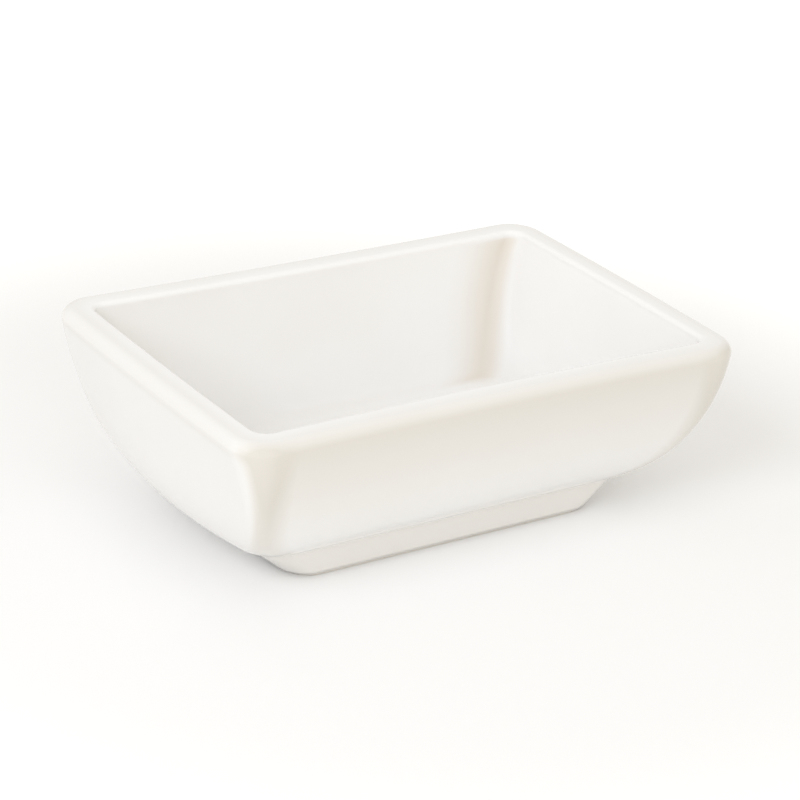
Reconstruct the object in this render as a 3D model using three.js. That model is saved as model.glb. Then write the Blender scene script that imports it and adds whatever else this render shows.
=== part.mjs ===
// Sauce dish in glazed porcelain: a rectangular vessel with inward-curving walls, the foot that it is
// luted to, and the two areas of glaze on them. Millimetres and degrees, +Z up, +X along the dish.
// The origin is the centre of the face that the dish stands on.

import * as THREE from 'three';

// Driving dimensions: rim, over the glaze. Length and width are those at the corners: towards its middle
// each long side is drawn in and each short side swells, as the walls of such a dish do in the kiln.
// The rim is level on top, with a soft outer edge and a sharper inner edge.
const RIM_LENGTH = 100;
const RIM_WIDTH = 66.5;
const DISH_HEIGHT = 33.4;
const RIM_THICKNESS = 5.2;
const RIM_OUTER_EDGE_RADIUS = 1.9;
const RIM_INNER_EDGE_RADIUS = 0.9;
const RIM_CORNER_RADIUS = 6.2;
const LONG_RIM_DRAW_IN = 0.7;
const SHORT_RIM_SWELL = 0.3;

// Driving dimensions: outer walls, from the rim down to the neck above the foot.
// A wall leaves the rim at its lean from upright and reaches the neck at its rise from level;
// shoulder and belly say how far it keeps to each of those two directions. The neck's length, too, is that
// at its corners, and the short walls swell more there than at the rim.
const NECK_HEIGHT = 5.8;
const NECK_LENGTH = 72.5;
const NECK_WIDTH = 41.1;
const NECK_CORNER_RADIUS = 4.7;
const SHORT_NECK_SWELL = 3.4;
const NECK_COVE_DROP = 1.3;
const NECK_COVE_RISE = 0.5;
const WALL_CORNER_RADIUS = 3.1;
const SHORT_WALL_LEAN = 18.7;
const SHORT_WALL_SHOULDER = 18.6;
const SHORT_WALL_RISE = 24;
const SHORT_WALL_BELLY = 10.2;
const LONG_WALL_LEAN = 0.9;
const LONG_WALL_SHOULDER = 8.7;
const LONG_WALL_RISE = 32;
const LONG_WALL_BELLY = 7.6;

// Driving dimensions: inside of the vessel
const FLOOR_THICKNESS = 4;
const FLOOR_HOLLOW = 0.4;
const WALL_THICKNESS_AT_FLOOR = 8;
const INNER_RIM_CORNER_RADIUS = 2.8;
const FLOOR_CORNER_RADIUS = 4.5;
const INNER_SHORT_WALL_SHOULDER = 14;
const INNER_LONG_WALL_SHOULDER = 8.5;
const INNER_WALL_RISE = 3;
const INNER_WALL_BELLY = 7;

// Driving dimensions: foot, over the glaze
const FOOT_LENGTH = 62.5;
const FOOT_WIDTH = 40;
const FOOT_CORNER_RADIUS = 5.1;
const FOOT_EDGE_RADIUS = 0.5;
const FOOT_STANDING_WIDTH = 3.6;
const RECESS_DRAFT = 0.8;
const RECESS_CORNER_RADIUS = 3;

// Driving dimensions: glaze
const GLAZE_THICKNESS = 0.3;
const GLAZE_LINE_HEIGHT = 0.6;
const RECESS_GLAZE_LINE_HEIGHT = 0.8;

// How finely the curves are divided
const CORNER_STEPS = 6;
const LONG_SIDE_STEPS = 5;
const SHORT_SIDE_STEPS = 6;
const OUTER_WALL_STEPS = 9;
const INNER_WALL_STEPS = 9;
const RIM_EDGE_STEPS = 4;
const COVE_STEPS = 3;
const FOOT_EDGE_STEPS = 3;

// Sizes of the clay, under its glaze
const clayRimHalfLength = RIM_LENGTH / 2 - GLAZE_THICKNESS;
const clayRimHalfWidth = RIM_WIDTH / 2 - GLAZE_THICKNESS;
const clayRimCorner = RIM_CORNER_RADIUS - GLAZE_THICKNESS;
const clayRimThickness = RIM_THICKNESS - 2 * GLAZE_THICKNESS;
const clayRimHeight = DISH_HEIGHT - GLAZE_THICKNESS;
const rimOuterRadius = RIM_OUTER_EDGE_RADIUS - GLAZE_THICKNESS;
const rimInnerRadius = RIM_INNER_EDGE_RADIUS - GLAZE_THICKNESS;
const springHeight = clayRimHeight - rimOuterRadius;
const innerSpringHeight = clayRimHeight - rimInnerRadius;
const neckHalfLength = NECK_LENGTH / 2 - GLAZE_THICKNESS;
const neckHalfWidth = NECK_WIDTH / 2 - GLAZE_THICKNESS;
const neckCorner = NECK_CORNER_RADIUS - GLAZE_THICKNESS;
const wallCorner = WALL_CORNER_RADIUS - GLAZE_THICKNESS;
const footHalfLength = FOOT_LENGTH / 2 - GLAZE_THICKNESS;
const footHalfWidth = FOOT_WIDTH / 2 - GLAZE_THICKNESS;
const footCorner = FOOT_CORNER_RADIUS - GLAZE_THICKNESS;
const floorEdgeHeight = NECK_HEIGHT + FLOOR_THICKNESS + FLOOR_HOLLOW;

const mix = THREE.MathUtils.lerp;
const shareOf = (value, from, to) => (value - from) / (to - from);
const within = (share) => THREE.MathUtils.clamp(share, 0, 1);

// A wall's profile from the rim down, as half-size across and height
function wallCurve(top, lean, shoulder, bottom, rise, belly) {
  const leanAngle = THREE.MathUtils.degToRad(lean);
  const riseAngle = THREE.MathUtils.degToRad(rise);
  const downward = new THREE.Vector2(-Math.sin(leanAngle), -Math.cos(leanAngle));
  const outward = new THREE.Vector2(Math.cos(riseAngle), Math.sin(riseAngle));
  const afterTop = downward.multiplyScalar(shoulder).add(top);
  const beforeBottom = outward.multiplyScalar(belly).add(bottom);
  return new THREE.CubicBezierCurve(top, afterTop, beforeBottom, bottom);
}

// How far along a falling profile a height lies, by halving the stretch that holds it
function shareAtHeight(curve, height) {
  let above = 0;
  let below = 1;
  while (below - above > Number.EPSILON) {
    const middle = (above + below) / 2;
    if (curve.getPoint(middle).y > height) above = middle;
    else below = middle;
  }
  return above;
}

const halfSizeAt = (curve, height) => curve.getPoint(shareAtHeight(curve, height)).x;

const shortWall = wallCurve(
  new THREE.Vector2(clayRimHalfLength, springHeight), SHORT_WALL_LEAN, SHORT_WALL_SHOULDER,
  new THREE.Vector2(neckHalfLength, NECK_HEIGHT), SHORT_WALL_RISE, SHORT_WALL_BELLY,
);
const longWall = wallCurve(
  new THREE.Vector2(clayRimHalfWidth, springHeight), LONG_WALL_LEAN, LONG_WALL_SHOULDER,
  new THREE.Vector2(neckHalfWidth, NECK_HEIGHT), LONG_WALL_RISE, LONG_WALL_BELLY,
);

// The inner walls start where the rim's inner edge ends and keep their thickness at the floor
const innerTop = (outerHalf) => new THREE.Vector2(outerHalf - clayRimThickness, innerSpringHeight);
const innerFoot = (outerWall) => new THREE.Vector2(
  halfSizeAt(outerWall, floorEdgeHeight) - WALL_THICKNESS_AT_FLOOR, floorEdgeHeight,
);
const innerShortWall = wallCurve(
  innerTop(clayRimHalfLength), SHORT_WALL_LEAN, INNER_SHORT_WALL_SHOULDER,
  innerFoot(shortWall), INNER_WALL_RISE, INNER_WALL_BELLY,
);
const innerLongWall = wallCurve(
  innerTop(clayRimHalfWidth), LONG_WALL_LEAN, INNER_LONG_WALL_SHOULDER,
  innerFoot(longWall), INNER_WALL_RISE, INNER_WALL_BELLY,
);

// How far a short end swells at its middle: not at all where the dish stands, most at the neck
function endSwell(height) {
  const share = within(shareOf(height, NECK_HEIGHT, DISH_HEIGHT));
  return within(height / NECK_HEIGHT) * mix(SHORT_NECK_SWELL, SHORT_RIM_SWELL, share);
}

// One level ring: a rounded rectangle with bowed sides, counter-clockwise from above
function ring(halfLength, halfWidth, corner, height, swell = endSwell(height)) {
  const points = [];
  const drawIn = LONG_RIM_DRAW_IN * within(shareOf(height, NECK_HEIGHT, DISH_HEIGHT));
  const place = (x, y) => {
    const acrossLength = Math.max(0, 1 - (x / halfLength) ** 2);
    const acrossWidth = Math.max(0, 1 - (y / halfWidth) ** 2);
    points.push(new THREE.Vector3(
      x + swell * acrossWidth * (x / halfLength),
      y - drawIn * acrossLength * (y / halfWidth),
      height,
    ));
  };
  const quarters = [[1, 1], [-1, 1], [-1, -1], [1, -1]];
  quarters.forEach(([alongX, alongY], quarter) => {
    const centre = new THREE.Vector2(alongX * (halfLength - corner), alongY * (halfWidth - corner));
    const edge = new THREE.Vector2();
    for (let step = 0; step <= CORNER_STEPS; step += 1) {
      const angle = (quarter + step / CORNER_STEPS) * Math.PI / 2;
      edge.set(Math.cos(angle), Math.sin(angle)).multiplyScalar(corner).add(centre);
      place(edge.x, edge.y);
    }
    const isLongSide = alongX === alongY;
    const sideLength = 2 * ((isLongSide ? halfLength : halfWidth) - corner);
    const sideSteps = isLongSide ? LONG_SIDE_STEPS : SHORT_SIDE_STEPS;
    const sideAngle = (quarter + 2) * Math.PI / 2;
    for (let step = 1; step < sideSteps; step += 1) {
      const along = sideLength * step / sideSteps;
      place(edge.x + Math.cos(sideAngle) * along, edge.y + Math.sin(sideAngle) * along);
    }
  });
  return points;
}

// The skin between successive rings. A ring of one point closes an end; a closed loop joins last to first.
// Each four-sided cell is cut along its shorter diagonal, so pieces that share two rings share their facets.
function loft(rings, closed = false) {
  const positions = [];
  const triangles = [];
  const numbered = rings.map((points) => points.map((point) => {
    positions.push(point.x, point.y, point.z);
    return { point, index: positions.length / 3 - 1 };
  }));
  const addTriangle = (...corners) => {
    const indices = corners.map((corner) => corner.index);
    if (new Set(indices).size === corners.length) triangles.push(...indices);
  };
  const nextRings = closed ? [...numbered.slice(1), numbered[0]] : numbered.slice(1);
  nextRings.forEach((upper, span) => {
    const lower = numbered[span];
    const around = Math.max(lower.length, upper.length);
    for (let step = 0; step < around; step += 1) {
      const [a, b] = [lower[step % lower.length], lower[(step + 1) % lower.length]];
      const [c, d] = [upper[step % upper.length], upper[(step + 1) % upper.length]];
      if (b.point.distanceTo(c.point) < a.point.distanceTo(d.point)) {
        addTriangle(a, b, c);
        addTriangle(b, d, c);
      } else {
        addTriangle(a, b, d);
        addTriangle(a, d, c);
      }
    }
  });
  const geometry = new THREE.BufferGeometry();
  geometry.setAttribute('position', new THREE.Float32BufferAttribute(positions, 3));
  geometry.setIndex(triangles);
  geometry.computeVertexNormals();
  return geometry;
}

// The points of a skin moved out by a thickness square to its facets, and so farther where these meet at an
// angle. A facet counts by the angle that it fills at the point.
function movedOut(skin, thickness) {
  const position = skin.getAttribute('position');
  const index = skin.getIndex().array;
  const points = Array.from({ length: position.count }, (unused, vertex) => (
    new THREE.Vector3().fromBufferAttribute(position, vertex)
  ));
  const facetsAt = points.map(() => []);
  for (let start = 0; start < index.length; start += 3) {
    const vertices = [index[start], index[start + 1], index[start + 2]];
    const [a, b, c] = vertices.map((vertex) => points[vertex]);
    const normal = new THREE.Triangle(a, b, c).getNormal(new THREE.Vector3());
    [[a, b, c], [b, c, a], [c, a, b]].forEach(([corner, next, last], place) => {
      const angle = next.clone().sub(corner).angleTo(last.clone().sub(corner));
      facetsAt[vertices[place]].push({ normal, angle });
    });
  }
  return points.flatMap((point, vertex) => {
    const direction = new THREE.Vector3();
    facetsAt[vertex].forEach(({ normal, angle }) => direction.addScaledVector(normal, angle));
    direction.normalize();
    const facing = Math.min(...facetsAt[vertex].map(({ normal }) => normal.dot(direction)));
    return direction.multiplyScalar(thickness / facing).add(point).toArray();
  });
}

// A coat of even thickness on a skin: an inner face on the skin's own facets, an outer face and an open edge
function coat(skin, thickness) {
  const inner = skin.getAttribute('position');
  const index = Array.from(skin.getIndex().array);
  const outerOf = (vertex) => vertex + inner.count;
  const triangles = [];
  const edges = new Set();
  for (let start = 0; start < index.length; start += 3) {
    const [a, b, c] = index.slice(start, start + 3);
    triangles.push(c, b, a, outerOf(a), outerOf(b), outerOf(c));
    [[a, b], [b, c], [c, a]].forEach((edge) => edges.add(edge.join()));
  }
  edges.forEach((edge) => {
    const [from, to] = edge.split(',').map(Number);
    const isOpen = !edges.has([to, from].join());
    if (isOpen) triangles.push(outerOf(to), outerOf(from), from, outerOf(to), from, to);
  });
  const geometry = new THREE.BufferGeometry();
  const positions = [...inner.array, ...movedOut(skin, thickness)];
  geometry.setAttribute('position', new THREE.Float32BufferAttribute(positions, 3));
  geometry.setIndex(triangles);
  geometry.computeVertexNormals();
  return geometry;
}

// The outer walls' corner radius in plan: round at the neck, sharpest half-way up, rounder again at the rim
function outerCorner(height) {
  const share = shareOf(height, NECK_HEIGHT, springHeight);
  const pull = 2 * wallCorner - (neckCorner + clayRimCorner) / 2;
  return mix(mix(neckCorner, pull, share), mix(pull, clayRimCorner, share), share);
}

// What a ring of the outer walls measures at a height: half-length, half-width, corner radius and height
function outerWallSizes(height) {
  return [halfSizeAt(shortWall, height), halfSizeAt(longWall, height), outerCorner(height), height];
}

// Outside of the vessel, from above the neck's hollow round up to where the rim's outer edge begins
function outerWallRings() {
  const bottomShare = shareAtHeight(longWall, NECK_HEIGHT + NECK_COVE_RISE);
  return Array.from({ length: OUTER_WALL_STEPS }, (unused, index) => {
    const share = bottomShare * (1 - (index + 1) / OUTER_WALL_STEPS);
    return ring(...outerWallSizes(longWall.getPoint(share).y));
  });
}

// A round edge of the rim from its upright side to its top: how far in from that side, and how high
function rimEdge(radius) {
  return Array.from({ length: RIM_EDGE_STEPS }, (unused, index) => {
    const angle = (Math.PI / 2) * ((index + 1) / RIM_EDGE_STEPS);
    return { inset: radius * (1 - Math.cos(angle)), height: clayRimHeight - radius * (1 - Math.sin(angle)) };
  });
}

// The rim from its outer edge over its level top to its inner edge, without its two ends
function rimRings() {
  const outerEdge = rimEdge(rimOuterRadius);
  const innerEdge = rimEdge(rimInnerRadius).reverse();
  const acrossRim = innerEdge.map(({ inset, height }) => ({ inset: clayRimThickness - inset, height }));
  return [...outerEdge, ...acrossRim].map(({ inset, height }) => {
    const corner = mix(clayRimCorner, INNER_RIM_CORNER_RADIUS, inset / clayRimThickness);
    return ring(clayRimHalfLength - inset, clayRimHalfWidth - inset, corner, height);
  });
}

// Inside of the vessel, from the rim's inner edge down to the floor's middle
function innerWallRings() {
  const rings = Array.from({ length: INNER_WALL_STEPS + 1 }, (unused, step) => {
    const height = innerLongWall.getPoint(step / INNER_WALL_STEPS).y;
    const share = shareOf(height, floorEdgeHeight, innerSpringHeight);
    const corner = mix(FLOOR_CORNER_RADIUS, INNER_RIM_CORNER_RADIUS, share);
    return ring(halfSizeAt(innerShortWall, height), halfSizeAt(innerLongWall, height), corner, height);
  });
  return [...rings, [new THREE.Vector3(0, 0, floorEdgeHeight - FLOOR_HOLLOW)]];
}

// What a ring of the foot's side measures at a height, between its round lower edge and the neck
function footSideSizes(height) {
  const share = shareOf(height, FOOT_EDGE_RADIUS, NECK_HEIGHT);
  return [
    mix(footHalfLength, neckHalfLength, share),
    mix(footHalfWidth, neckHalfWidth, share),
    mix(footCorner, neckCorner, share),
    height,
  ];
}

// The neck's hollow round between two shares of its way from the foot's side up to the wall
function coveRings(fromShare, toShare) {
  const below = footSideSizes(NECK_HEIGHT - NECK_COVE_DROP);
  const neck = [neckHalfLength, neckHalfWidth, neckCorner, NECK_HEIGHT];
  const above = outerWallSizes(NECK_HEIGHT + NECK_COVE_RISE);
  return Array.from({ length: COVE_STEPS + 1 }, (unused, step) => {
    const share = mix(fromShare, toShare, step / COVE_STEPS);
    const sizes = neck.map((size, place) => (
      mix(mix(below[place], size, share), mix(size, above[place], share), share)
    ));
    return ring(...sizes);
  });
}

// The share of the hollow round that lies below the joint, which is level with the neck
const jointShare = 1 / (1 + Math.sqrt(NECK_COVE_RISE / NECK_COVE_DROP));

// The foot's round lower edge, from the standing face up
function footEdgeRings() {
  return Array.from({ length: FOOT_EDGE_STEPS + 1 }, (unused, step) => {
    const angle = (Math.PI / 2) * (1 - step / FOOT_EDGE_STEPS);
    const inset = FOOT_EDGE_RADIUS * (1 - Math.cos(angle));
    const height = FOOT_EDGE_RADIUS * (1 - Math.sin(angle));
    return ring(footHalfLength - inset, footHalfWidth - inset, footCorner - inset, height);
  });
}

// Wall of the recess under the foot, inside the narrower of foot and neck and narrowing towards the vessel.
// Its ends are straight.
function recessRing(height) {
  const inset = FOOT_EDGE_RADIUS + FOOT_STANDING_WIDTH + RECESS_DRAFT * (height / NECK_HEIGHT);
  return ring(
    Math.min(footHalfLength, neckHalfLength) - inset,
    Math.min(footHalfWidth, neckHalfWidth) - inset,
    RECESS_CORNER_RADIUS,
    height,
    0,
  );
}

const undersideMiddle = [new THREE.Vector3(0, 0, NECK_HEIGHT)];
const footCove = coveRings(0, jointShare);
const vesselSkin = [...coveRings(jointShare, 1), ...outerWallRings(), ...rimRings(), ...innerWallRings()];
const glazeLine = ring(...footSideSizes(GLAZE_LINE_HEIGHT));

const bodyGeometry = loft([undersideMiddle, ...vesselSkin]);

const footGeometry = loft([
  recessRing(0),
  ...footEdgeRings(),
  glazeLine,
  ...footCove,
  recessRing(NECK_HEIGHT),
  recessRing(RECESS_GLAZE_LINE_HEIGHT),
], true);

const glazedSkin = loft([glazeLine, ...footCove.slice(0, -1), ...vesselSkin]);
const glazeGeometry = coat(glazedSkin, GLAZE_THICKNESS);

const recessSkin = loft([undersideMiddle, recessRing(NECK_HEIGHT), recessRing(RECESS_GLAZE_LINE_HEIGHT)]);
const undersideGlazeGeometry = coat(recessSkin, GLAZE_THICKNESS);

const bareClay = { color: 0xe9e2d6, roughness: 0.65, metalness: 0 };
const whiteGlaze = { color: 0xf3eee8, roughness: 0.15, metalness: 0 };

function piece(name, geometry, finish) {
  const mesh = new THREE.Mesh(geometry, new THREE.MeshStandardMaterial(finish));
  mesh.name = name;
  return mesh;
}

const sauceDish = new THREE.Group();
sauceDish.name = 'sauce_dish';
sauceDish.add(
  piece('dish_body', bodyGeometry, bareClay),
  piece('foot_ring', footGeometry, bareClay),
  piece('glaze_coat', glazeGeometry, whiteGlaze),
  piece('underside_glaze', undersideGlazeGeometry, whiteGlaze),
);

export default sauceDish;
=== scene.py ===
# %% [markdown]
# # A sauce dish in white porcelain
# The real dish is fired clay under a coat of glass. It was pressed into a rectangle with walls that curve
# inwards, a foot was luted on below, and the whole was dipped in glaze, apart from the edge it stands on.
# This lesson dresses the solids of that dish: they give the pieces, the frame and the outer sizes.

# %% Load the frame
import math

import bpy
from mathutils import Matrix, Vector


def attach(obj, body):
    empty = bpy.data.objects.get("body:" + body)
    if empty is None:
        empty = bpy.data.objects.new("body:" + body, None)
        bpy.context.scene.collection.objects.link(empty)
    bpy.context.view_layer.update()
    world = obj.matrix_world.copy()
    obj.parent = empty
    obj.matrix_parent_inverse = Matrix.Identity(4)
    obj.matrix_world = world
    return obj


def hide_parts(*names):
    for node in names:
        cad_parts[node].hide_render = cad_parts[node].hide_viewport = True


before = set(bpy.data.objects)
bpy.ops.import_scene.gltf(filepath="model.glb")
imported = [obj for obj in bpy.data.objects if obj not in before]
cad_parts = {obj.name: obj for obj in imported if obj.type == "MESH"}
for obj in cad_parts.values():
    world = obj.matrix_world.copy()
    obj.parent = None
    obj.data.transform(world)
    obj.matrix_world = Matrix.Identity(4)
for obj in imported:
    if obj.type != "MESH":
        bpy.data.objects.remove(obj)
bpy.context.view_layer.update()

MM = 0.001
print("solids:", sorted(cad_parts))

# %% [markdown]
# ## Wires
# Shapes and finishes are both made with nodes here, and nodes are easier to read as sums than as boxes.
# A `Wire` holds one output socket. Adding, multiplying or comparing wires adds a Math node to their tree,
# so a formula in Python becomes the same formula in nodes. Every other node comes from `add_node`.

# %% Wires and nodes


def add_node(tree, kind, settings=None, inputs=None, output=0):
    """Adds a node, sets it up, joins its sockets and gives one of its outputs as a wire."""
    node = tree.nodes.new(kind)
    for name, value in (settings or {}).items():
        setattr(node, name, value)
    for key, value in (inputs or {}).items():
        join(value, node.inputs[key])
    return Wire(node.outputs[output]) if len(node.outputs) else None


def join(value, socket):
    """Links a wire to a socket, or sets a plain value on it."""
    if isinstance(value, Wire):
        socket.id_data.links.new(value.socket, socket)
    else:
        socket.default_value = value


class Wire:
    """One output socket, which takes part in Python's arithmetic."""

    def __init__(self, socket):
        self.socket = socket

    def math(self, operation, *others, first=None):
        """A Math node on this wire and others, or on a first value and this wire."""
        values = [self, *others] if first is None else [first, self]
        return add_node(
            self.socket.id_data, "ShaderNodeMath", {"operation": operation}, dict(enumerate(values))
        )

    def __add__(self, other):
        return self.math("ADD", other)

    def __radd__(self, other):
        return self.math("ADD", first=other)

    def __sub__(self, other):
        return self.math("SUBTRACT", other)

    def __rsub__(self, other):
        return self.math("SUBTRACT", first=other)

    def __mul__(self, other):
        return self.math("MULTIPLY", other)

    def __rmul__(self, other):
        return self.math("MULTIPLY", first=other)

    def __truediv__(self, other):
        return self.math("DIVIDE", other)

    def __rtruediv__(self, other):
        return self.math("DIVIDE", first=other)

    def __gt__(self, other):
        return self.math("GREATER_THAN", other)


def between(start, end, share):
    """The value a share of the way from start to end."""
    return start + (end - start) * share


def clamp(value):
    """The value kept from 0 to 1."""
    return value.math("MAXIMUM", 0).math("MINIMUM", 1)


def soft_step(value, low, high):
    """0 below low, 1 above high, and a smooth rise between."""
    tree = value.socket.id_data
    inputs = {"Value": value, "From Min": low, "From Max": high}
    return add_node(tree, "ShaderNodeMapRange", {"interpolation_type": "SMOOTHSTEP"}, inputs)


print("wires are ready")

# %% [markdown]
# ## The glaze
# Porcelain glaze is a thin coat of white glass over a cream body. It is never quite even: its tone drifts
# a little and it ripples like orange peel. Where it lies thin, the cream shows through. Shade is painted
# into
# its colour as well: under the long walls' rim, on the outer corners, the rim and the foot, and in the
# well's corners, along the floor's edge and in the hollow round above the foot. A texture can't know where
# that is, but the shape can: it stores two numbers on its points, one for thin glaze and painted shade
# together and one for painted shade in the hollows, from 0 to 1, and the finish blends its colours by them.

# %% Glaze finish
GLAZE_COLOUR = (0.905, 0.9, 0.889, 1)
GLAZE_DRIFT_COLOUR = (0.895, 0.887, 0.871, 1)
# Darker, warmer colour for thin glaze and painted shade on the outside, the corners, the rim and the foot.
GLAZE_THIN_AND_SHADE_COLOUR = (0.7, 0.665, 0.6, 1)
# Colour of painted shade in the well's corners, along the floor's edge and in the hollow round above the
# foot.
GLAZE_CREASE_SHADE_COLOUR = (0.74, 0.67, 0.575, 1)
GLAZE_SMOOTHEST, GLAZE_ROUGHEST = 0.1105, 0.1625
GLAZE_IOR = 1.5
DRIFT_SIZE, DRIFT_DETAIL = 16, 2
DRIFT_START, DRIFT_END = 0.3, 0.7
RIPPLE_SIZE, RIPPLE_DETAIL = 2.2, 1
RIPPLE_DEPTH, RIPPLE_STRENGTH = 0.012, 0.25
MOTTLE_SIZE, MOTTLE_DETAIL = 0.6, 3


def new_finish(name):
    """A material with an empty node tree."""
    material = bpy.data.materials.new(name)
    material.use_nodes = True
    material.node_tree.nodes.clear()
    return material


def grain(tree, size, detail):
    """Smooth noise with features of about that many millimetres, from 0 to 1."""
    place = add_node(tree, "ShaderNodeTexCoord", output="Object")
    inputs = {"Vector": place, "Scale": 1 / (size * MM), "Detail": detail}
    return add_node(tree, "ShaderNodeTexNoise", None, inputs)


def blend_colour(tree, start, end, share):
    """A colour a share of the way from start to end."""
    node = tree.nodes.new("ShaderNodeMix")
    node.data_type = "RGBA"
    join(share, node.inputs["Factor"])
    colours = [socket for socket in node.inputs if socket.type == "RGBA"]
    join(start, colours[0])
    join(end, colours[1])
    return Wire([socket for socket in node.outputs if socket.type == "RGBA"][0])


def relief(tree, height, strength, depth):
    """A bump that is that many millimetres deep, from a height between 0 and 1."""
    inputs = {"Height": height, "Strength": strength, "Distance": depth * MM}
    return add_node(tree, "ShaderNodeBump", None, inputs)


def glaze_finish():
    """Glossy white glass, darker where it is thin and where shade is painted into its colour."""
    material = new_finish("white_glaze")
    tree = material.node_tree
    drift = soft_step(grain(tree, DRIFT_SIZE, DRIFT_DETAIL), DRIFT_START, DRIFT_END)
    thin = add_node(tree, "ShaderNodeAttribute", {"attribute_name": "thin"}, output="Fac")
    pool = add_node(tree, "ShaderNodeAttribute", {"attribute_name": "pool"}, output="Fac")
    colour = blend_colour(tree, GLAZE_COLOUR, GLAZE_DRIFT_COLOUR, drift)
    # These two blends darken the colour for thin glaze with painted shade, and for painted shade in the
    # hollows.
    colour = blend_colour(tree, colour, GLAZE_THIN_AND_SHADE_COLOUR, thin)
    colour = blend_colour(tree, colour, GLAZE_CREASE_SHADE_COLOUR, pool)
    mottle = grain(tree, MOTTLE_SIZE, MOTTLE_DETAIL)
    roughness = between(GLAZE_SMOOTHEST, GLAZE_ROUGHEST, mottle)
    bump = relief(tree, grain(tree, RIPPLE_SIZE, RIPPLE_DETAIL), RIPPLE_STRENGTH, RIPPLE_DEPTH)
    shader = add_node(tree, "ShaderNodeBsdfPrincipled", None, {
        "Base Color": colour, "Roughness": roughness, "IOR": GLAZE_IOR, "Normal": bump,
    })
    add_node(tree, "ShaderNodeOutputMaterial", None, {"Surface": shader})
    return material


white_glaze = glaze_finish()
print("glaze:", len(white_glaze.node_tree.nodes), "nodes")

# %% [markdown]
# ## The bare clay
# Where the dish stands, the glaze was wiped off, or it would have stuck to the kiln's shelf. There the
# fired clay shows: warmer, dull, and with a fine grain that the finger feels. One fine noise drives both its
# relief and its roughness, because a grain that stands up also scatters light. A coarser one sets specks.

# %% Clay finish
CLAY_COLOUR = (0.83, 0.785, 0.71, 1)
CLAY_SPECK_COLOUR = (0.66, 0.59, 0.49, 1)
CLAY_SMOOTHEST, CLAY_ROUGHEST = 0.62, 0.82
CLAY_GRAIN_SIZE, CLAY_GRAIN_DETAIL = 0.22, 4
CLAY_GRAIN_DEPTH, CLAY_GRAIN_STRENGTH = 0.05, 0.6
SPECK_SIZE, SPECK_DETAIL = 0.44, 2
SPECK_START, SPECK_END = 0.62, 0.74


def clay_finish():
    """Dull cream clay with darker specks and a fine grain."""
    material = new_finish("bare_clay")
    tree = material.node_tree
    fine = grain(tree, CLAY_GRAIN_SIZE, CLAY_GRAIN_DETAIL)
    speck = soft_step(grain(tree, SPECK_SIZE, SPECK_DETAIL), SPECK_START, SPECK_END)
    colour = blend_colour(tree, CLAY_COLOUR, CLAY_SPECK_COLOUR, speck)
    roughness = between(CLAY_SMOOTHEST, CLAY_ROUGHEST, fine)
    bump = relief(tree, fine, CLAY_GRAIN_STRENGTH, CLAY_GRAIN_DEPTH)
    shader = add_node(tree, "ShaderNodeBsdfPrincipled", None, {
        "Base Color": colour, "Roughness": roughness, "Normal": bump,
    })
    add_node(tree, "ShaderNodeOutputMaterial", None, {"Surface": shader})
    return material


bare_clay = clay_finish()
print("clay:", len(bare_clay.node_tree.nodes), "nodes")

# %% [markdown]
# ## Sizes
# The dish follows a rule: every level cut through it is a rounded rectangle, and two wall curves say how
# long and how wide that rectangle is at each height. These are the sizes of that rule, in millimetres.
# They are the solids' own sizes, apart from the recess's edge, which is rounded only here, and each one
# becomes a named input of the trees that follow. The angles say how far a wall leans where it leaves the
# rim, and how steeply it rises from the neck or, inside, from the floor.

# %% Sizes of the dish
SIZES = {
    "Rim Length": 100,
    "Rim Width": 66.5,
    "Dish Height": 33.4,
    "Rim Thickness": 5.2,
    "Rim Outer Edge": 1.9,
    "Rim Inner Edge": 0.9,
    "Rim Corner": 6.2,
    "Rim Draw In": 0.7,
    "Rim Swell": 0.3,
    "Neck Height": 5.8,
    "Neck Length": 72.5,
    "Neck Width": 41.1,
    "Neck Corner": 4.7,
    "Neck Swell": 3.4,
    "Cove Drop": 1.3,
    "Cove Rise": 0.5,
    "Wall Corner": 3.1,
    "Short Shoulder": 18.6,
    "Short Belly": 10.2,
    "Long Shoulder": 8.7,
    "Long Belly": 7.6,
    "Floor Thickness": 4,
    "Floor Hollow": 0.4,
    "Wall At Floor": 8,
    "Inner Rim Corner": 2.8,
    "Floor Corner": 4.5,
    "Inner Short Shoulder": 14,
    "Inner Long Shoulder": 8.5,
    "Inner Belly": 7,
    "Foot Length": 62.5,
    "Foot Width": 40,
    "Foot Corner": 5.1,
    "Foot Edge": 0.5,
    "Standing Width": 3.6,
    "Recess Draft": 0.8,
    "Recess Corner": 3,
    "Recess Edge": 0.4,
    "Glaze Thickness": 0.3,
    "Glaze Line": 0.6,
    "Recess Glaze Line": 0.8,
}
SHORT_WALL_LEAN = math.radians(18.7)
SHORT_WALL_RISE = math.radians(24)
LONG_WALL_LEAN = math.radians(0.9)
LONG_WALL_RISE = math.radians(32)
INNER_WALL_RISE = math.radians(3)
print(len(SIZES), "sizes,", SIZES["Rim Length"], "mm long over the rim")

# %% [markdown]
# ## A rule for the shape
# A dish can be modelled by pushing points about, but then no size can be changed later. Here a tree makes
# it from its sizes. A sheet of grid is the easiest surface to bend by formula: one way across it counts the
# points around the dish, the other runs along a stretch of the wall. `Rule` holds one such tree, with the
# sizes as wires, the count around and the share along.

# %% The rule of the dish
CORNER_STEPS = 16
SIDE_STEPS = 24
QUARTER_STEPS = CORNER_STEPS + SIDE_STEPS
AROUND_STEPS = 4 * QUARTER_STEPS
HALVINGS = 18
MERGE_DISTANCE = MM / 1000
QUARTER_TURN = math.pi / 2


def bezier(points, share):
    """One coordinate of a cubic curve with four control points."""
    a, b, c, d = points
    rest = 1 - share
    return rest * rest * (rest * a + 3 * share * b) + share * share * (3 * rest * c + share * d)


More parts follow.
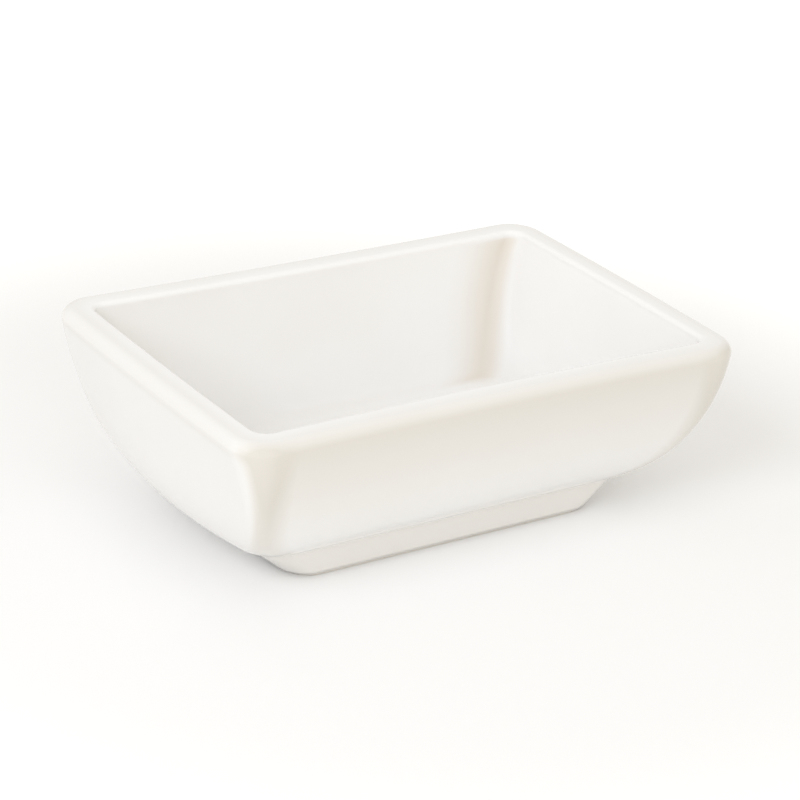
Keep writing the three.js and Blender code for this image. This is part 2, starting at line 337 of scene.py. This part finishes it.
class Rule:
    """A tree that makes one piece of the dish from the sizes."""

    def __init__(self, name):
        self.tree = bpy.data.node_groups.new(name, "GeometryNodeTree")
        face = self.tree.interface
        face.new_socket("Geometry", in_out="OUTPUT", socket_type="NodeSocketGeometry")
        for size in SIZES:
            face.new_socket(size, in_out="INPUT", socket_type="NodeSocketFloat")
        group = self.tree.nodes.new("NodeGroupInput")
        self.size = {size: Wire(group.outputs[size]) for size in SIZES}
        place = self.node("GeometryNodeInputPosition")
        across = self.node("ShaderNodeSeparateXYZ", None, {"Vector": place}, "X")
        along = self.node("ShaderNodeSeparateXYZ", None, {"Vector": place}, "Y")
        # A grid of unit size reaches half a unit to each side of its middle.
        self.share = along + 0.5
        self.count_around((across + 0.5) * AROUND_STEPS)
        self.stretches = []

    def node(self, kind, settings=None, inputs=None, output=0):
        """Adds a node to this rule's tree."""
        return add_node(self.tree, kind, settings, inputs, output)

    def count_around(self, place):
        """Where a point lies round its ring: which corner, how far round it, how far along the next side."""
        count = place.math("ROUND")
        quarter = (count / QUARTER_STEPS).math("FLOOR")
        step = count - quarter * QUARTER_STEPS
        angle = (quarter + (step / CORNER_STEPS).math("MINIMUM", 1)) * QUARTER_TURN
        diagonal = (quarter + 0.5) * QUARTER_TURN
        side = ((step - CORNER_STEPS) / SIDE_STEPS).math("MAXIMUM", 0)
        is_short = quarter.math("MODULO", 2)
        self.centre_x = diagonal.math("COSINE").math("SIGN") * (1 - 2 * side * (1 - is_short))
        self.centre_y = diagonal.math("SINE").math("SIGN") * (1 - 2 * side * is_short)
        self.corner_x = angle.math("COSINE")
        self.corner_y = angle.math("SINE")

    def share_at(self, heights, height):
        """How far along a falling curve a height lies, found by halving the stretch that holds it."""
        start = self.tree.nodes.new("GeometryNodeRepeatInput")
        end = self.tree.nodes.new("GeometryNodeRepeatOutput")
        start.pair_with_output(end)
        end.repeat_items.clear()
        for name, value in (("Above", 0), ("Below", 1)):
            end.repeat_items.new("FLOAT", name)
            start.inputs[name].default_value = value
        start.inputs["Iterations"].default_value = HALVINGS
        above, below = Wire(start.outputs["Above"]), Wire(start.outputs["Below"])
        middle = (above + below) / 2
        is_high = bezier(heights, middle) > height
        join(between(above, middle, is_high), end.inputs["Above"])
        join(between(middle, below, is_high), end.inputs["Below"])
        return Wire(end.outputs["Above"])

    def number(self, value):
        """A plain number as a wire."""
        node = self.tree.nodes.new("ShaderNodeValue")
        node.outputs[0].default_value = value
        return Wire(node.outputs[0])

    def finish(self, material):
        """Joins the stretches into one smooth surface with a finish."""
        joined = self.tree.nodes.new("GeometryNodeJoinGeometry")
        for part in reversed(self.stretches):
            join(part, joined.inputs[0])
        whole = {0: Wire(joined.outputs[0]), "Distance": MERGE_DISTANCE}
        merged = self.node("GeometryNodeMergeByDistance", None, whole)
        smooth = self.node("GeometryNodeSetShadeSmooth", None, {0: merged, "Shade Smooth": True})
        real = self.node("GeometryNodeRealizeInstances", None, {0: smooth})
        done = self.node("GeometryNodeSetMaterial", None, {0: real, "Material": material})
        self.node("NodeGroupOutput", None, {0: done})


print("points round each ring:", AROUND_STEPS)

# %% [markdown]
# ## Rings and their glaze
# A stretch is a grid whose points move to where the rule puts them, so that its rows become rings round the
# dish. Each point also stores its masks of thin glaze and painted shade, because here it is still known how
# far it lies from an end and from a side: outer corners get a stripe of thin glaze and painted shade, and
# inner ones get painted shade.

# %% Stretches of rings
# Lengths of the thin glaze and painted shade, in millimetres. First, half the width over which a long side
# passes into an end.
SIDE_BLEND = 2
# How far the stripe of thin glaze and painted shade reaches from an outer corner, and how strongly it keeps
# to the long side.
EDGE_SHADE_REACH, EDGE_SHADE_TURN = 3, 9
# How far painted shade reaches from an inner corner along a long wall, and how many times less along an end.
HOLLOW_SHADE_REACH, HOLLOW_SHADE_BIAS = 13, 5
# The painted shade in the inner corners is strongest at the +X end: half the length over which that changes,
# and the share that is left at the other end.
SHADE_SHIFT_REACH, LEAST_CORNER_SHADE = 20, 0.1


class Rings(Rule):
    """The rule with stretches of rings, which carry their glaze."""

    def up_wall(self, height):
        """How far up from the neck to the rim a height lies, from 0 to 1."""
        low = self.size["Neck Height"]
        return clamp((height - low) / (self.size["Dish Height"] - low))

    def end_swell(self, height):
        """How far a short end swells at its middle: not at all where the dish stands, most at the neck."""
        size = self.size
        swell = between(size["Neck Swell"], size["Rim Swell"], self.up_wall(height))
        return clamp(height / size["Neck Height"]) * swell

    def stretch(self, rows, length, width, corner, height, swell=None, **glaze):
        """Adds a grid bent into the rings whose half-sizes, corner radius and height are given."""
        x = (length - corner) * self.centre_x + corner * self.corner_x
        y = (width - corner) * self.centre_y + corner * self.corner_y
        across, along = x / length, y / width
        swell = self.end_swell(height) if swell is None else swell
        draw_in = self.size["Rim Draw In"] * self.up_wall(height)
        # The ends swell and the long sides draw in, each most at its middle and not at all at its corners.
        place = self.node("ShaderNodeCombineXYZ", None, {
            "X": x + swell * across * (1 - along * along).math("MAXIMUM", 0),
            "Y": y - draw_in * along * (1 - across * across).math("MAXIMUM", 0),
            "Z": height,
        })
        counts = {"Size X": 1, "Size Y": 1, "Vertices X": AROUND_STEPS + 1, "Vertices Y": rows + 1}
        sheet = self.node("GeometryNodeMeshGrid", None, counts)
        from_end = length - x.math("ABSOLUTE")
        from_side = width - y.math("ABSOLUTE")
        # Painted shade in the inner corners is strongest towards the +X end.
        toward_shaded_end = between(LEAST_CORNER_SHADE, 1, soft_step(x, -SHADE_SHIFT_REACH * MM, SHADE_SHIFT_REACH * MM))
        # The glaze settings carry the masks of thin glaze and painted shade onto the points.
        sheet = self.store_thin_and_shade(sheet, from_end, from_side, corner, toward_shaded_end, **glaze)
        self.stretches.append(
            self.node("GeometryNodeSetPosition", None, {"Geometry": sheet, "Position": place})
        )

    def store_thin_and_shade(
        self, sheet, from_end, from_side, corner, toward_shaded_end,
        thin=0, side_thin=None, pool=0, corner_thin=0, corner_pool=0,
    ):
        """Stores the mask of thin glaze and painted shade, on ends, long sides and corners, and the painted
        shade in the hollows.
        """
        on_side = soft_step(from_end - from_side, -SIDE_BLEND * MM, SIDE_BLEND * MM)
        thin = thin if side_thin is None else between(thin, side_thin, on_side)
        # The stripe of thin glaze and painted shade is centred on one place of the corner's arc, nearer the
        # long side on a tight corner.
        bias = EDGE_SHADE_TURN * MM / corner
        least = 1 + bias - (1 + bias * bias).math("SQRT")
        past_edge = from_end + bias * from_side - least * corner
        on_shaded_edge = 1 - soft_step(past_edge, 0, EDGE_SHADE_REACH * MM)
        in_shaded_corner = 1 - soft_step(from_end + HOLLOW_SHADE_BIAS * from_side, 0, HOLLOW_SHADE_REACH * MM)
        values = {
            "thin": thin + corner_thin * on_shaded_edge,
            "pool": pool + corner_pool * in_shaded_corner * toward_shaded_end,
        }
        for name, value in values.items():
            stored = {"Geometry": sheet, "Name": name, "Value": value}
            sheet = self.node("GeometryNodeStoreNamedAttribute", {"domain": "POINT"}, stored)
        return sheet


# Prints how far the painted shade reaches from an inner corner and from an outer one.
print("glaze reaches", HOLLOW_SHADE_REACH, "mm from an inner corner and", EDGE_SHADE_REACH, "mm from an outer one")

# %% [markdown]
# ## The vessel's walls
# Outside, a wall leaves the rim, curves in and runs into a hollow round above the foot. Inside, a second
# curve runs from the rim to the edge of the floor, which is slightly hollow. The curves are cubic, so the
# width at a height has no short formula: a repeat zone finds it by halving. The rim is a level band
# between two rounded edges.
#
# Each stretch also says how dark its colour is. On the upright long walls painted shade lies under the rim,
# strongest at the top. The whole outside, the outer corners, the rim and the foot are darkened for thin
# glaze and painted shade together, and inside the coat is thick. Painted shade also darkens the well's
# corners, the floor's edge and the hollow round above the foot.

# %% Stretches of the clay's surface
FOOT_ROWS = 6
COVE_ROWS = 8
WALL_ROWS = 44
RIM_EDGE_ROWS = 10
RIM_TOP_ROWS = 6
FLOOR_ROWS = 16
UNDERSIDE_ROWS = 6
# How far the colour goes towards the dark one, for thin glaze and painted shade together: 0 is the full
# coat's colour and 1 the dark one. On the long walls painted shade grows towards the rim by a power of the
# way up.
THIN_AND_SHADE_OUTSIDE = 0.29
SHADE_UNDER_RIM, SHADE_FALL = 1, 1.5
THIN_AND_SHADE_ON_RIM = 0.26
THIN_INSIDE_RIM = 0.06
THIN_AND_SHADE_ON_FOOT = 0.44
THIN_AND_SHADE_ON_CORNERS = 0.55
# The ends get more thin glaze and painted shade towards their top edge, from the first share of the way up
# to the second.
THIN_AND_SHADE_ON_EDGE = 0.2
EDGE_START, EDGE_END = 0.86, 0.93
# How much painted shade darkens the hollows. In the corners it starts within a share of the way down the
# wall and runs out within a share of the way in over the floor. Along the floor's edge it fades by a power
# of that way.
# The last size is for the hollow round above the foot.
SHADE_IN_CORNERS, CORNER_SHADE_TOP, CORNER_SHADE_END = 0.9, 0.03, 0.13
SHADE_ON_FLOOR_EDGE, FLOOR_SHADE_FALL = 0.04, 4
SHADE_IN_COVE = 0.2


def bend(points, share):
    """One coordinate of a quadratic curve with three control points."""
    a, b, c = points
    return between(between(a, b, share), between(b, c, share), share)


def all_between(starts, ends, share):
    """Several sizes at once, each a share of the way from its start to its end."""
    return [between(start, end, share) for start, end in zip(starts, ends)]


class Dish(Rings):
    """The rule with the sizes of the clay, under its glaze."""

    def __init__(self, name):
        super().__init__(name)
        size = self.size
        coat = size["Glaze Thickness"]
        self.rim = [size["Rim Length"] / 2 - coat, size["Rim Width"] / 2 - coat]
        self.neck = [size["Neck Length"] / 2 - coat, size["Neck Width"] / 2 - coat]
        self.foot = [size["Foot Length"] / 2 - coat, size["Foot Width"] / 2 - coat]
        self.rim_corner = size["Rim Corner"] - coat
        self.neck_corner = size["Neck Corner"] - coat
        self.foot_corner = size["Foot Corner"] - coat
        self.rim_thickness = size["Rim Thickness"] - 2 * coat
        self.rim_height = size["Dish Height"] - coat
        self.rim_outer = size["Rim Outer Edge"] - coat
        self.rim_inner = size["Rim Inner Edge"] - coat
        self.spring = self.rim_height - self.rim_outer
        self.inner_spring = self.rim_height - self.rim_inner
        self.floor_edge = size["Neck Height"] + size["Floor Thickness"] + size["Floor Hollow"]
        self.short_wall = self.wall(
            self.rim[0], self.spring, SHORT_WALL_LEAN, size["Short Shoulder"],
            self.neck[0], size["Neck Height"], SHORT_WALL_RISE, size["Short Belly"],
        )
        self.long_wall = self.wall(
            self.rim[1], self.spring, LONG_WALL_LEAN, size["Long Shoulder"],
            self.neck[1], size["Neck Height"], LONG_WALL_RISE, size["Long Belly"],
        )

    def wall(self, top, top_height, lean, shoulder, bottom, bottom_height, rise, belly):
        """Control points of a wall curve from the rim down: half-sizes and heights."""
        halves = [top, top - shoulder * math.sin(lean), bottom + belly * math.cos(rise), bottom]
        heights = [
            top_height, top_height - shoulder * math.cos(lean),
            bottom_height + belly * math.sin(rise), bottom_height,
        ]
        return halves, heights

    def half_at(self, wall, height):
        """A wall's half-size at a height."""
        halves, heights = wall
        return bezier(halves, self.share_at(heights, height))

    def outer_corner(self, height):
        """The corner radius: round at the neck, sharpest half-way up and rounder again at the rim."""
        low = self.size["Neck Height"]
        share = (height - low) / (self.spring - low)
        wall_corner = self.size["Wall Corner"] - self.size["Glaze Thickness"]
        # The middle control point that leads the curve through the wall's own radius half-way up.
        pull = 2 * wall_corner - (self.neck_corner + self.rim_corner) / 2
        return bend([self.neck_corner, pull, self.rim_corner], share)

    def foot_sizes(self, height):
        """What a ring of the foot's side measures at a height."""
        low = self.size["Foot Edge"]
        share = (height - low) / (self.size["Neck Height"] - low)
        starts, ends = [*self.foot, self.foot_corner], [*self.neck, self.neck_corner]
        return [*all_between(starts, ends, share), height]

    def foot_side(self, bottom):
        """The foot's side from a height up to the hollow round of the neck."""
        top = self.size["Neck Height"] - self.size["Cove Drop"]
        rings = self.foot_sizes(between(bottom, top, self.share))
        # The foot is darkened for thin glaze and the painted shade under the dish.
        self.stretch(FOOT_ROWS, *rings, thin=THIN_AND_SHADE_ON_FOOT)

    def cove(self, start, end):
        """The hollow round of the neck between two shares of its way, with painted shade in it."""
        share = between(start, end, self.share)
        # 1 in the middle of the round and 0 at its two edges.
        deepest = 4 * share * (1 - share)
        self.stretch(
            COVE_ROWS, *self.cove_sizes(share),
            thin=between(THIN_AND_SHADE_ON_FOOT, THIN_AND_SHADE_OUTSIDE, share), side_thin=THIN_AND_SHADE_ON_FOOT * (1 - share),
            pool=SHADE_IN_COVE * deepest,
        )

    def cove_sizes(self, share):
        """What a ring of the hollow round measures, a share of its way up."""
        size = self.size
        top = size["Neck Height"] + size["Cove Rise"]
        below = self.foot_sizes(size["Neck Height"] - size["Cove Drop"])
        neck = [*self.neck, self.neck_corner, size["Neck Height"]]
        above = [self.half_at(self.short_wall, top), self.half_at(self.long_wall, top)]
        above += [self.outer_corner(top), top]
        return [bend(points, share) for points in zip(below, neck, above)]

    def joint_share(self):
        """The share of the hollow round below the joint of foot and vessel."""
        # The round's heights follow a quadratic curve, which comes to the neck's height at this share.
        return 1 / (1 + (self.size["Cove Rise"] / self.size["Cove Drop"]).math("SQRT"))

    def joint_sizes(self):
        """What the outline of the joint measures: half-sizes and corner radius."""
        return self.cove_sizes(self.joint_share())[:3]

    def level_face(self, starts, ends, swell):
        """A level face at the neck's height between two outlines, with a share of the ends' swell there."""
        height = self.size["Neck Height"]
        rings = all_between(starts, ends, self.share)
        self.stretch(UNDERSIDE_ROWS, *rings, height, swell=self.end_swell(height) * swell)

    def outer_wall(self):
        """The outside from the neck's hollow round up to the rim."""
        halves, heights = self.long_wall
        start = self.share_at(heights, self.size["Neck Height"] + self.size["Cove Rise"])
        share = start * (1 - self.share)
        height = bezier(heights, share)
        climb = self.up_wall(height)
        length = self.half_at(self.short_wall, height)
        corner = self.outer_corner(height)
        # Painted shade under the long walls' rim, and thin glaze with painted shade on the outside and its
        # corners.
        self.stretch(
            WALL_ROWS, length, bezier(halves, share), corner, height,
            thin=THIN_AND_SHADE_OUTSIDE + THIN_AND_SHADE_ON_EDGE * soft_step(climb, EDGE_START, EDGE_END),
            side_thin=SHADE_UNDER_RIM * climb.math("POWER", SHADE_FALL),
            corner_thin=THIN_AND_SHADE_ON_CORNERS,
        )

    def rim_rings(self, rows, inset, drop, **glaze):
        """A stretch of the rim, from how far in and how far down its rings lie."""
        corner = between(self.rim_corner, self.size["Inner Rim Corner"], inset / self.rim_thickness)
        halves = [half - inset for half in self.rim]
        self.stretch(rows, *halves, corner, self.rim_height - drop, **glaze)

    def rim_band(self):
        """The rim: a soft outer edge, a level top and a sharper inner edge."""
        turn = self.share * QUARTER_TURN
        rising, falling = 1 - turn.math("SINE"), 1 - turn.math("COSINE")
        rest = 1 - self.share
        outer, inner = self.rim_outer, self.rim_thickness - self.rim_inner
        # The rim is darkened for thin glaze and painted shade, most on its outer edge and under the long
        # sides.
        self.rim_rings(
            RIM_EDGE_ROWS, outer * falling, outer * rising,
            thin=THIN_AND_SHADE_OUTSIDE + THIN_AND_SHADE_ON_EDGE * rest * rest,
            side_thin=between(SHADE_UNDER_RIM, THIN_AND_SHADE_ON_RIM, self.share),
            corner_thin=THIN_AND_SHADE_ON_CORNERS * rest,
        )
        self.rim_rings(
            RIM_TOP_ROWS, between(outer, inner, self.share), self.number(0),
            thin=between(THIN_AND_SHADE_OUTSIDE, THIN_INSIDE_RIM, self.share),
            side_thin=between(THIN_AND_SHADE_ON_RIM, THIN_INSIDE_RIM, self.share),
        )
        self.rim_rings(
            RIM_EDGE_ROWS, self.rim_thickness - self.rim_inner * rising, self.rim_inner * falling,
            thin=THIN_INSIDE_RIM,
        )

    def inside(self):
        """The inner walls and the floor, with painted shade in the corners and along the floor's edge."""
        size = self.size
        walls = []
        for rim, outer, lean, shoulder in (
            (self.rim[0], self.short_wall, SHORT_WALL_LEAN, size["Inner Short Shoulder"]),
            (self.rim[1], self.long_wall, LONG_WALL_LEAN, size["Inner Long Shoulder"]),
        ):
            bottom = self.half_at(outer, self.floor_edge) - size["Wall At Floor"]
            walls.append(self.wall(
                rim - self.rim_thickness, self.inner_spring, lean, shoulder,
                bottom, self.floor_edge, INNER_WALL_RISE, size["Inner Belly"],
            ))
        short_wall, (halves, heights) = walls
        height = bezier(heights, self.share)
        climb = (height - self.floor_edge) / (self.inner_spring - self.floor_edge)
        corner = between(size["Floor Corner"], size["Inner Rim Corner"], climb)
        rest = 1 - self.share
        self.stretch(
            WALL_ROWS, self.half_at(short_wall, height), bezier(halves, self.share), corner, height,
            thin=THIN_INSIDE_RIM * rest,
            pool=SHADE_ON_FLOOR_EDGE * self.share.math("POWER", FLOOR_SHADE_FALL),
            corner_pool=SHADE_IN_CORNERS * soft_step(self.share, 0, CORNER_SHADE_TOP),
        )
        depth = size["Floor Hollow"] * (1 - rest * rest)
        floor_halves = [short_wall[0][-1], halves[-1]]
        self.stretch(
            FLOOR_ROWS, *(half * rest for half in floor_halves), size["Floor Corner"] * rest,
            self.floor_edge - depth,
            pool=SHADE_ON_FLOOR_EDGE * rest.math("POWER", FLOOR_SHADE_FALL),
            corner_pool=SHADE_IN_CORNERS * (1 - soft_step(self.share, 0, CORNER_SHADE_END)),
        )


rim_rows = 2 * RIM_EDGE_ROWS + RIM_TOP_ROWS
print("rows from neck to floor:", COVE_ROWS + 2 * WALL_ROWS + rim_rows + FLOOR_ROWS)

# %% [markdown]
# ## Glaze coat and vessel
# The glaze runs from the line above the standing edge over the foot, the outside, the rim and the inside.
# Its inner face is the clay's surface, so the tree makes that skin and a Solidify modifier adds the coat's
# thickness outwards. The vessel under it is the same skin, closed below by the joint to the foot.

# %% Make the glaze coat and the vessel
# The half-sizes and the corner radius of a ring that has shrunk to a point.
MIDDLE = [0, 0, 0]


def make_piece(name, rule, coat=0):
    """Runs a tree on an empty object and keeps the result as a plain mesh."""
    piece = bpy.data.objects.new(name, bpy.data.meshes.new(name))
    bpy.context.scene.collection.objects.link(piece)
    shape = piece.modifiers.new("shape", "NODES")
    shape.node_group = rule.tree
    for socket in rule.tree.interface.items_tree:
        if socket.in_out == "INPUT":
            shape[socket.identifier] = SIZES[socket.name] * MM
    if coat:
        wall = piece.modifiers.new("coat", "SOLIDIFY")
        wall.thickness = coat * MM
        # All of the thickness goes outwards.
        wall.offset = 1
        wall.use_even_offset = True
    graph = bpy.context.evaluated_depsgraph_get()
    done = piece.evaluated_get(graph)
    mesh = bpy.data.meshes.new_from_object(done, preserve_all_data_layers=True, depsgraph=graph)
    piece.modifiers.clear()
    piece.data = mesh
    mesh.name = name
    print(name, len(mesh.polygons), "faces")
    return piece


coat_rule = Dish("glaze_coat_rule")
coat_rule.foot_side(coat_rule.size["Glaze Line"])
coat_rule.cove(0, 1)
coat_rule.outer_wall()
coat_rule.rim_band()
coat_rule.inside()
coat_rule.finish(white_glaze)
glaze_coat = make_piece("dish_glaze", coat_rule, SIZES["Glaze Thickness"])

vessel_rule = Dish("vessel_rule")
vessel_rule.level_face(MIDDLE, vessel_rule.joint_sizes(), vessel_rule.share)
vessel_rule.cove(vessel_rule.joint_share(), 1)
vessel_rule.outer_wall()
vessel_rule.rim_band()
vessel_rule.inside()
vessel_rule.finish(bare_clay)
vessel = make_piece("clay_vessel", vessel_rule)

# %% [markdown]
# ## Foot and underside
# The foot is a closed ring: a flat edge to stand on, a rounded outer edge, a side that rakes out at the
# dish's ends, and a recess inside. Glaze also lines that recess, cut off by the bare edge. The side and the
# hollow round are the dish's own, so `Foot` only adds the recess and the two edges to the rule.

# %% Make the foot and the glaze under it
EDGE_ROWS = 8
STANDING_ROWS = 2


class Foot(Dish):
    """The rule with the recess under the foot."""

    def recess_sizes(self, height):
        """What a ring of the recess's wall measures at a height."""
        size = self.size
        inset = size["Foot Edge"] + size["Standing Width"]
        inset = inset + size["Recess Draft"] * height / size["Neck Height"]
        narrow = [foot.math("MINIMUM", neck) for foot, neck in zip(self.foot, self.neck)]
        return [*(half - inset for half in narrow), size["Recess Corner"], height]

    def recess_ceiling(self):
        """What the outline of the recess's ceiling measures: half-sizes and corner radius."""
        return self.recess_sizes(self.size["Neck Height"])[:3]

    def recess_wall(self, bottom):
        """The recess's wall from its ceiling down to a height."""
        height = between(self.size["Neck Height"], bottom, self.share)
        self.stretch(FOOT_ROWS, *self.recess_sizes(height), swell=0)

    def recess_edge(self):
        """The small round between the recess and the standing face."""
        radius = self.size["Recess Edge"]
        angle = self.share * QUARTER_TURN
        length, width, corner, height = self.recess_sizes(radius * (1 - angle.math("SINE")))
        inset = radius * (1 - angle.math("COSINE"))
        self.stretch(EDGE_ROWS, length + inset, width + inset, corner + inset, height, swell=0)

    def standing_face(self):
        """The flat face that the dish stands on."""
        radius, edge = self.size["Recess Edge"], self.size["Foot Edge"]
        ground = self.number(0)
        starts = [half + radius for half in self.recess_sizes(ground)[:3]]
        ends = [half - edge for half in (*self.foot, self.foot_corner)]
        self.stretch(STANDING_ROWS, *all_between(starts, ends, self.share), ground)

    def outer_edge(self):
        """The rounded lower edge of the foot."""
        radius = self.size["Foot Edge"]
        angle = (1 - self.share) * QUARTER_TURN
        inset = radius * (1 - angle.math("COSINE"))
        halves = [half - inset for half in (*self.foot, self.foot_corner)]
        self.stretch(EDGE_ROWS, *halves, radius * (1 - angle.math("SINE")))


foot_rule = Foot("foot_rule")
foot_rule.recess_edge()
foot_rule.standing_face()
foot_rule.outer_edge()
foot_rule.foot_side(foot_rule.size["Foot Edge"])
foot_rule.cove(0, foot_rule.joint_share())
foot_rule.level_face(foot_rule.joint_sizes(), foot_rule.recess_ceiling(), 1 - foot_rule.share)
foot_rule.recess_wall(foot_rule.size["Recess Edge"])
foot_rule.finish(bare_clay)
foot_ring = make_piece("clay_foot", foot_rule)

recess_rule = Foot("recess_rule")
recess_rule.level_face(MIDDLE, recess_rule.recess_ceiling(), 0)
recess_rule.recess_wall(recess_rule.size["Recess Glaze Line"])
recess_rule.finish(white_glaze)
recess_glaze = make_piece("foot_recess_glaze", recess_rule, SIZES["Glaze Thickness"])

# %% [markdown]
# ## Stage
# The dish stands on a plain white floor in a bright, slightly warm room. A broad key lamp from the left
# gives it shape, and a weaker fill lamp from the viewer's side lifts the front. Both are kept out of
# reflections, where they would show as hard glints. The floor adds a little light of its own for the eye
# only, and more of it further off, so that it reads as white while it still takes the dish's shadow.

# %% Floor, room and lamps
# Lengths of the stage are in metres. The floor's own light grows between a near and a far distance.
FLOOR_SIZE = 6
FLOOR_COLOUR = (0.9, 0.9, 0.9, 1)
FLOOR_LIFT, FAR_FLOOR_LIFT = 0.055, 0.3
NEAR_FLOOR, FAR_FLOOR = 0.08, 0.18
ROOM_STRENGTH = 0.83
ROOM_COLOUR = (1, 0.972, 0.92, 1)
WHITE = (1, 1, 1, 1)
# A lamp's azimuth turns from +X towards +Y.
LAMP_DISTANCE = 1.1
LAMP_AIM = Vector((0, 0, 0.015))
KEY_AZIMUTH, KEY_ELEVATION = math.radians(202), math.radians(35)
KEY_SIZE, KEY_POWER, KEY_COLOUR = 0.5, 3.6, (0.94, 1, 1.12)
FILL_AZIMUTH, FILL_ELEVATION = math.radians(262), math.radians(16)
FILL_SIZE, FILL_POWER, FILL_COLOUR = 0.5, 1.6, (1, 1, 1)


def seen_directly(tree):
    """1 for rays from the eye, by itself or through a mirror or glass, and 0 for light."""
    paths = [add_node(tree, "ShaderNodeLightPath", output=name) for name in (
        "Is Camera Ray", "Is Glossy Ray", "Is Transmission Ray",
    )]
    return (paths[0] + paths[1] + paths[2]).math("MINIMUM", 1)


def floor_finish():
    """Matt white with some light of its own for the eye, more of it further from the dish."""
    material = new_finish("white_floor")
    tree = material.node_tree
    matt = add_node(tree, "ShaderNodeBsdfDiffuse", None, {"Color": FLOOR_COLOUR})
    place = add_node(tree, "ShaderNodeTexCoord", output="Object")
    away = add_node(tree, "ShaderNodeVectorMath", {"operation": "LENGTH"}, {0: place}, "Value")
    lift = between(FLOOR_LIFT, FAR_FLOOR_LIFT, soft_step(away, NEAR_FLOOR, FAR_FLOOR))
    strength = seen_directly(tree) * lift
    glow = add_node(tree, "ShaderNodeEmission", None, {"Color": WHITE, "Strength": strength})
    both = add_node(tree, "ShaderNodeAddShader", None, {0: matt, 1: glow})
    add_node(tree, "ShaderNodeOutputMaterial", None, {"Surface": both})
    return material


def make_floor():
    """One large square with its middle under the dish."""
    half = FLOOR_SIZE / 2
    corners = [(-half, -half, 0), (half, -half, 0), (half, half, 0), (-half, half, 0)]
    mesh = bpy.data.meshes.new("floor")
    mesh.from_pydata(corners, [], [(0, 1, 2, 3)])
    mesh.materials.append(floor_finish())
    sheet = bpy.data.objects.new("floor", mesh)
    bpy.context.scene.collection.objects.link(sheet)
    return sheet


def light_room():
    """A warm room for the light, with a plain white backdrop for the eye."""
    world = bpy.data.worlds.new("room")
    bpy.context.scene.world = world
    world.use_nodes = True
    tree = world.node_tree
    tree.nodes.clear()
    room = add_node(tree, "ShaderNodeBackground", None, {"Color": ROOM_COLOUR, "Strength": ROOM_STRENGTH})
    backdrop = add_node(tree, "ShaderNodeBackground", None, {"Color": WHITE, "Strength": 1})
    mixed = add_node(tree, "ShaderNodeMixShader", None, {0: seen_directly(tree), 1: room, 2: backdrop})
    add_node(tree, "ShaderNodeOutputWorld", None, {"Surface": mixed})


def hang_lamp(name, azimuth, elevation, size, power, colour):
    """A broad square lamp that faces the dish and doesn't show in reflections."""
    light = bpy.data.lights.new(name, "AREA")
    light.shape = "SQUARE"
    light.size = size
    light.energy = power
    light.color = colour
    lamp = bpy.data.objects.new(name, light)
    bpy.context.scene.collection.objects.link(lamp)
    level = math.cos(elevation)
    way = Vector((level * math.cos(azimuth), level * math.sin(azimuth), math.sin(elevation)))
    turn = way.to_track_quat("Z", "Y").to_matrix().to_4x4()
    lamp.matrix_world = Matrix.Translation(LAMP_AIM + way * LAMP_DISTANCE) @ turn
    lamp.visible_glossy = False


floor = make_floor()
light_room()
hang_lamp("key_lamp", KEY_AZIMUTH, KEY_ELEVATION, KEY_SIZE, KEY_POWER, KEY_COLOUR)
hang_lamp("fill_lamp", FILL_AZIMUTH, FILL_ELEVATION, FILL_SIZE, FILL_POWER, FILL_COLOUR)
bpy.context.scene.view_settings.view_transform = "Standard"
print("lamps:", KEY_POWER, "and", FILL_POWER, "watts, room:", ROOM_STRENGTH)

# %% [markdown]
# ## Camera
# The eye looks down at the near corner through a long lens, and the frame is tilted a little, as when a dish
# is photographed by hand. The aim is the dish's middle, moved a touch so that the frame matches.

# %% Camera
# The view's azimuth turns from the dish's front, -Y, towards its left end, -X.
VIEW_AZIMUTH = math.radians(35.51)
VIEW_ELEVATION = math.radians(24.55)
VIEW_ROLL = math.radians(-4.58)
VIEW_DISTANCE = 483.4 * MM
AIM_RIGHT = 1.276 * MM
AIM_UP = 1.848 * MM
LENS = 124.9
SENSOR = 36


def place_camera():
    """The camera at its distance from the aim, tilted by the roll."""
    back = Vector((
        -math.sin(VIEW_AZIMUTH) * math.cos(VIEW_ELEVATION),
        -math.cos(VIEW_AZIMUTH) * math.cos(VIEW_ELEVATION),
        math.sin(VIEW_ELEVATION),
    ))
    level = Vector((math.cos(VIEW_AZIMUTH), -math.sin(VIEW_AZIMUTH), 0))
    upright = back.cross(level)
    right = level * math.cos(VIEW_ROLL) - upright * math.sin(VIEW_ROLL)
    up = level * math.sin(VIEW_ROLL) + upright * math.cos(VIEW_ROLL)
    aim = Vector((0, 0, SIZES["Dish Height"] * MM / 2)) + right * AIM_RIGHT + up * AIM_UP
    data = bpy.data.cameras.new("camera")
    data.lens = LENS
    data.sensor_width = SENSOR
    data.sensor_fit = "HORIZONTAL"
    camera = bpy.data.objects.new("camera", data)
    bpy.context.scene.collection.objects.link(camera)
    turn = Matrix((right, up, back)).transposed()
    camera.matrix_world = Matrix.Translation(aim + back * VIEW_DISTANCE) @ turn.to_4x4()
    bpy.context.scene.camera = camera
    return camera


camera = place_camera()
print("camera at", [round(value, 3) for value in camera.location])

# %% [markdown]
# ## Pieces
# Every piece rides on the dish's one body and stands for its solid, which is hidden.

# %% Pieces and bodies
PIECES = [
    (vessel, "dish_body", "porcelain"),
    (foot_ring, "foot_ring", "porcelain"),
    (glaze_coat, "glaze_coat", "glaze"),
    (recess_glaze, "underside_glaze", "glaze"),
]
for piece, node, slot in PIECES:
    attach(piece, "root")
    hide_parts(node)
